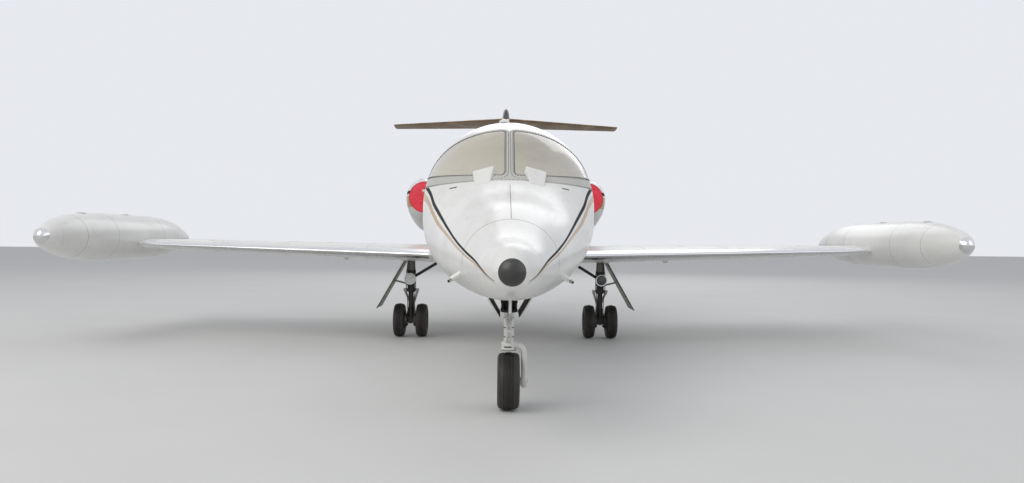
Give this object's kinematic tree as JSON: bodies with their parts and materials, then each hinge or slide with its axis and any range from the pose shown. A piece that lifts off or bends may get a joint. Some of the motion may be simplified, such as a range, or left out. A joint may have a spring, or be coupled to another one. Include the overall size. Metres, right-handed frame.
{
  "type": "business jet",
  "caption": "Light twin-jet business aircraft with straight tapered wings, tip tanks, rear nacelles, a T-tail and a nose gear that steers, parked on its wheels.",
  "frame": {"origin": "on the floor under the middle of the aircraft's box", "axes": "nose towards -Y, aircraft's left +X, up +Z"},
  "size_m": [10.8498, 13.18, 3.7313],
  "materials": {
    "white_paint": "gloss",
    "white_alloy": "gloss",
    "black_paint": "satin",
    "black_alloy": "satin",
    "bare_metal": "satin",
    "chrome": "polished",
    "haze_pane": "satin",
    "trim_grey": "matte",
    "seat_hide": "matte",
    "engine_iron": "matte",
    "hot_steel": "satin",
    "red_cover": "matte",
    "tyre": "matte",
    "wheel_alloy": "satin",
    "lamp_glass": "gloss"
  },
  "bodies": {
    "airframe": {"nose_cap": "black_paint", "nose_cone": "white_paint", "nose_section": "white_paint", "cockpit_shell": "white_paint", "cabin_shell_upper": "white_paint", "cabin_shell_lower": "white_paint", "tail_section": "white_paint", "windshield_panes": "haze_pane", "windshield_ducts": "white_paint", "cabin_windows": "haze_pane", "cabin_floor": "bare_metal", "aft_bulkhead": "white_paint", "instrument_panel": "trim_grey", "control_yokes": "trim_grey", "crew_seats": "seat_hide", "cabin_seats": "seat_hide", "wing_left": "white_alloy", "wing_right": "white_alloy", "tip_tank_left": "white_alloy", "tip_tank_right": "white_alloy", "tank_nose_caps": "chrome", "nacelle_left": "white_paint", "nacelle_right": "white_paint", "engine_cores": "engine_iron", "jet_pipes": "hot_steel", "inlet_plugs": "red_cover", "pylons": "white_alloy", "fin": "white_alloy", "tailplane": "bare_metal", "bullet": "black_alloy", "nose_strut": "white_paint", "nose_gear_doors": "white_paint", "main_strut_left": "white_paint", "main_strut_right": "white_paint", "landing_lamps": "lamp_glass", "main_gear_doors": "white_paint", "pitot_masts": "white_paint", "belly_blades": "black_paint"},
    "nose_steer": {"nose_fork": "white_paint"},
    "nose_wheel": {"nose_tyre": "tyre", "nose_rim": "wheel_alloy"},
    "main_wheels_left": {"main_tyres_left": "tyre", "main_rims_left": "wheel_alloy"},
    "main_wheels_right": {"main_tyres_right": "tyre", "main_rims_right": "wheel_alloy"},
    "door_upper": {"door_upper": "white_paint", "door_window": "haze_pane"},
    "door_lower": {"door_lower": "white_paint"},
    "flap_left": {"flap_left": "white_alloy"},
    "flap_right": {"flap_right": "white_alloy"},
    "aileron_left": {"aileron_left": "white_alloy"},
    "aileron_right": {"aileron_right": "white_alloy"},
    "spoiler_left": {"spoiler_left": "white_alloy"},
    "spoiler_right": {"spoiler_right": "white_alloy"},
    "elevator_left": {"elevator_left": "bare_metal"},
    "elevator_right": {"elevator_right": "bare_metal"},
    "rudder": {"rudder": "white_alloy"}
  },
  "joints": [
    {"name": "nose_gear_steer", "type": "hinge", "parent": "airframe", "child": "nose_steer", "pos_m": [0, -4.89, 0.6], "axis": [0, 0, 1], "range_deg": [-45, 45]},
    {"name": "nose_wheel_spin", "type": "hinge", "parent": "nose_steer", "child": "nose_wheel", "pos_m": [0, -4.89, 0.22], "axis": [1, 0, 0], "continuous": true},
    {"name": "main_wheels_left_spin", "type": "hinge", "parent": "airframe", "child": "main_wheels_left", "pos_m": [1.255, 0.04, 0.22], "axis": [1, 0, 0], "continuous": true},
    {"name": "main_wheels_right_spin", "type": "hinge", "parent": "airframe", "child": "main_wheels_right", "pos_m": [-1.255, 0.04, 0.22], "axis": [1, 0, 0], "continuous": true},
    {"name": "door_upper_hinge", "type": "hinge", "parent": "airframe", "child": "door_upper", "pos_m": [0.575, -2.335, 2.227], "axis": [0, -1, 0], "range_deg": [0, 75]},
    {"name": "door_lower_hinge", "type": "hinge", "parent": "airframe", "child": "door_lower", "pos_m": [0.643, -2.335, 1.063], "axis": [0, 1, 0], "range_deg": [0, 112]},
    {"name": "flap_left_hinge", "type": "hinge", "parent": "airframe", "child": "flap_left", "pos_m": [1.01, 0.7607, 1.1119], "axis": [-0.9948, -0.1, -0.0216], "range_deg": [0, 40]},
    {"name": "flap_right_hinge", "type": "hinge", "parent": "airframe", "child": "flap_right", "pos_m": [-1.01, 0.7607, 1.1119], "axis": [-0.9948, 0.1, 0.0216], "range_deg": [0, 40]},
    {"name": "aileron_left_hinge", "type": "hinge", "parent": "airframe", "child": "aileron_left", "pos_m": [2.86, 0.9467, 1.152], "axis": [0.9948, 0.1, 0.0216], "range_deg": [-18, 18]},
    {"name": "aileron_right_hinge", "type": "hinge", "parent": "airframe", "child": "aileron_right", "pos_m": [-2.86, 0.9467, 1.152], "axis": [0.9948, -0.1, -0.0216], "range_deg": [-18, 18]},
    {"name": "spoiler_left_hinge", "type": "hinge", "parent": "airframe", "child": "spoiler_left", "pos_m": [1.42, 0.3596, 1.2226], "axis": [0.9895, 0.1444, 0.0111], "range_deg": [0, 40]},
    {"name": "spoiler_right_hinge", "type": "hinge", "parent": "airframe", "child": "spoiler_right", "pos_m": [-1.42, 0.3596, 1.2226], "axis": [0.9895, -0.1444, -0.0111], "range_deg": [0, 40]},
    {"name": "elevator_left_hinge", "type": "hinge", "parent": "airframe", "child": "elevator_left", "pos_m": [0.15, 5.8388, 3.575], "axis": [0.9756, 0.2196, 0], "range_deg": [-15, 15]},
    {"name": "elevator_right_hinge", "type": "hinge", "parent": "airframe", "child": "elevator_right", "pos_m": [-0.15, 5.8388, 3.575], "axis": [0.9756, -0.2196, 0], "range_deg": [-15, 15]},
    {"name": "rudder_hinge", "type": "hinge", "parent": "airframe", "child": "rudder", "pos_m": [0, 5.1352, 2.63], "axis": [0, 0.492, 0.8706], "range_deg": [-25, 25]}
  ],
  "couplings": [
    {"joint": "flap_right_hinge", "follows": "flap_left_hinge", "ratio": 1},
    {"joint": "aileron_right_hinge", "follows": "aileron_left_hinge", "ratio": -1},
    {"joint": "spoiler_right_hinge", "follows": "spoiler_left_hinge", "ratio": 1},
    {"joint": "elevator_right_hinge", "follows": "elevator_left_hinge", "ratio": 1}
  ]
}
